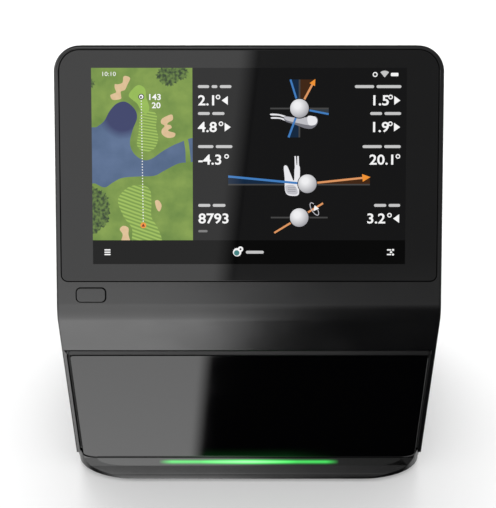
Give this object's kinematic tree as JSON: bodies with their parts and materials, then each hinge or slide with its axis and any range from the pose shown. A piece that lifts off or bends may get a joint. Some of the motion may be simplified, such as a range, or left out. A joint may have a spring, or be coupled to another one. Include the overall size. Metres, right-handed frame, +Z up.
{
  "type": "golf launch monitor",
  "caption": "Free-standing golf launch monitor with a leaning touch screen, dark camera window, status light, rear handle, battery and port doors, and levelling feet.",
  "frame": {"origin": "on the floor, at the middle of the bounding box's underside", "axes": "+X to the right seen from the front, +Y to the rear, +Z up"},
  "size_m": [0.267, 0.16, 0.3239],
  "materials": {
    "housing": "satin moulded plastic",
    "rear_shell": "fine textured plastic",
    "base": "textured plastic",
    "bumper": "satin moulded plastic",
    "light_bar": "smoked translucent plastic, lit green",
    "circuit_board": "solder mask",
    "window": "polished dark acrylic",
    "inner_black": "plain moulded plastic",
    "cover_glass": "polished cover glass",
    "gasket": "closed-cell foam",
    "display": "lit display",
    "sheet_metal": "stamped sheet",
    "screw_steel": "zinc plated",
    "ribbon": "polyimide film",
    "heat_sink": "extruded",
    "fan_plastic": "moulded plastic",
    "grille": "fine textured plastic",
    "button": "satin moulded plastic",
    "handle": "soft-touch grip",
    "bench_metal": "black anodised plate",
    "camera_body": "black anodised",
    "lens": "coated lens",
    "battery": "plain moulded plastic",
    "contact_brass": "plated spring contacts",
    "door": "fine textured plastic",
    "jack": "moulded plastic",
    "socket_metal": "plated shell",
    "speaker": "coated paper cone",
    "thumbwheel": "knurled moulded plastic",
    "rubber_foot": "rubber"
  },
  "bodies": {
    "chassis": {"front_housing": "housing", "rear_housing": "rear_shell", "base_plate": "base", "front_bumper": "bumper", "light_bar": "light_bar", "status_light_board": "circuit_board", "window_panel": "window", "window_carrier": "inner_black", "cover_glass": "cover_glass", "screen_gasket": "gasket", "display_panel": "display", "display_bracket": "sheet_metal", "bracket_screws": "screw_steel", "display_ribbon": "ribbon", "main_board": "circuit_board", "board_screws": "screw_steel", "board_shield": "sheet_metal", "heat_sink": "heat_sink", "fan_frame": "inner_black", "vent_grille": "grille", "button_board": "circuit_board", "handle_pocket": "rear_shell", "handle_bar": "handle", "handle_screws": "screw_steel", "optical_bench": "bench_metal", "bench_screws": "screw_steel", "camera_left": "camera_body", "camera_middle": "camera_body", "camera_right": "camera_body", "lens_left": "lens", "lens_middle": "lens", "lens_right": "lens", "strobe_left": "circuit_board", "strobe_right": "circuit_board", "battery_tray": "inner_black", "battery_pack": "battery", "battery_contacts": "contact_brass", "battery_door_pin": "screw_steel", "port_tub": "inner_black", "port_board": "circuit_board", "power_jack": "jack", "video_socket": "socket_metal", "large_data_socket": "socket_metal", "small_data_socket": "socket_metal", "port_door_pin": "screw_steel", "speaker": "speaker", "speaker_grille": "grille", "antenna": "ribbon", "wheel_retainers": "sheet_metal", "front_feet": "rubber_foot", "case_screws": "screw_steel", "base_screws": "screw_steel"},
    "button": {"power_button": "button"},
    "fan": {"fan_rotor": "fan_plastic"},
    "battery_door": {"battery_door": "door"},
    "port_door": {"port_door": "door"},
    "wheel_left": {"wheel_left": "thumbwheel"},
    "wheel_right": {"wheel_right": "thumbwheel"},
    "foot_left": {"foot_left": "rubber_foot"},
    "foot_right": {"foot_right": "rubber_foot"}
  },
  "joints": [
    {"name": "power_button_press", "type": "slide", "parent": "chassis", "child": "button", "axis": [0, 0.7559, -0.6547], "range_m": [0, 0.001], "stiffness_N_per_m": 500, "springref_m": -0.002},
    {"name": "fan_spin", "type": "hinge", "parent": "chassis", "child": "fan", "pos_m": [0.045, 0.068, 0.19], "axis": [0, 1, 0], "continuous": true},
    {"name": "battery_door_hinge", "type": "hinge", "parent": "chassis", "child": "battery_door", "pos_m": [-0.102, 0.078, 0.06], "axis": [0, 0, 1], "range_deg": [0, 95]},
    {"name": "port_door_hinge", "type": "hinge", "parent": "chassis", "child": "port_door", "pos_m": [0.106, 0.078, 0.054], "axis": [0, 0, -1], "range_deg": [0, 95]},
    {"name": "wheel_left_turn", "type": "hinge", "parent": "chassis", "child": "wheel_left", "pos_m": [-0.112, 0.0618, 0.017], "axis": [0, 0, 1], "range_deg": [0, 1080]},
    {"name": "foot_left_slide", "type": "slide", "parent": "chassis", "child": "foot_left", "axis": [0, 0, -1], "range_m": [0, 0.00605]},
    {"name": "wheel_right_turn", "type": "hinge", "parent": "chassis", "child": "wheel_right", "pos_m": [0.112, 0.0618, 0.017], "axis": [0, 0, 1], "range_deg": [0, 1080]},
    {"name": "foot_right_slide", "type": "slide", "parent": "chassis", "child": "foot_right", "axis": [0, 0, -1], "range_m": [0, 0.00605]}
  ],
  "couplings": [
    {"joint": "foot_left_slide", "follows": "wheel_left_turn", "m_per_rad": 0.00031831},
    {"joint": "foot_right_slide", "follows": "wheel_right_turn", "m_per_rad": 0.00031831}
  ]
}
